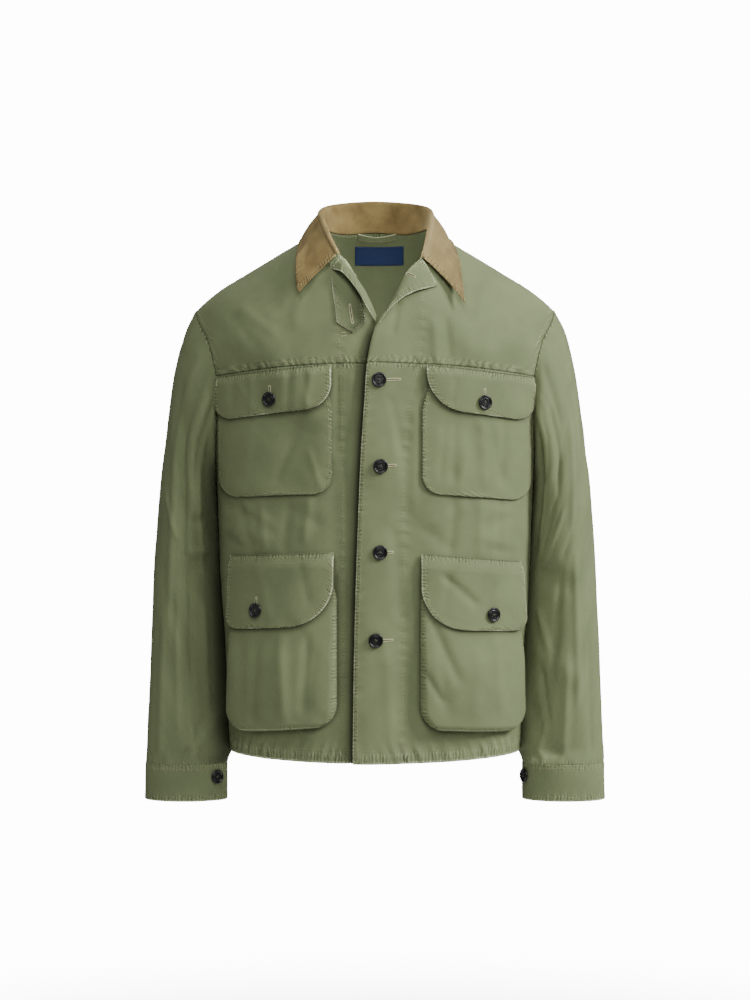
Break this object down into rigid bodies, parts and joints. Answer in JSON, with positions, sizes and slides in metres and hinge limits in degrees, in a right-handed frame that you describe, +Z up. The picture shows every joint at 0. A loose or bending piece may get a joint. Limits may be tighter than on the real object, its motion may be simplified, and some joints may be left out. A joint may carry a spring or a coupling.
{
  "type": "shirt jacket",
  "caption": "Hip-length cotton twill shirt jacket with a corduroy collar, buttoned front, chest and bellows hip pockets with flaps, and long cuffed sleeves, hollow as if worn.",
  "frame": {"origin": "the middle of the neck, level with its two sides, where the jacket hangs on its wearer", "axes": "+X to the right as one looks at the front, +Y to the back, +Z up"},
  "size_m": [0.62, 0.2618, 0.8126],
  "materials": {
    "twill": "matte washed olive cotton twill",
    "corduroy": "tan fine-wale cotton corduroy",
    "label": "navy woven label, bare",
    "button": "near-black moulded plastic with a slight sheen"
  },
  "bodies": {
    "root": {"back": "twill", "throat_tab": "twill", "hanger_loop": "twill", "yoke_left": "twill", "front_left": "twill", "lapel_left": "twill", "sleeve_left": "twill", "cuff_left": "twill", "chest_pocket_left": "twill", "chest_flap_left": "twill", "hip_pocket_left": "twill", "hip_flap_left": "twill", "yoke_right": "twill", "front_right": "twill", "lapel_right": "twill", "sleeve_right": "twill", "cuff_right": "twill", "chest_pocket_right": "twill", "chest_flap_right": "twill", "hip_pocket_right": "twill", "hip_flap_right": "twill", "collar": "corduroy", "neck_label": "label", "button_front_1": "button", "button_front_2": "button", "button_front_3": "button", "button_front_4": "button", "button_chest_left": "button", "button_chest_right": "button", "button_hip_left": "button", "button_hip_right": "button", "button_cuff_left": "button", "button_cuff_right": "button"}
  },
  "joints": []
}
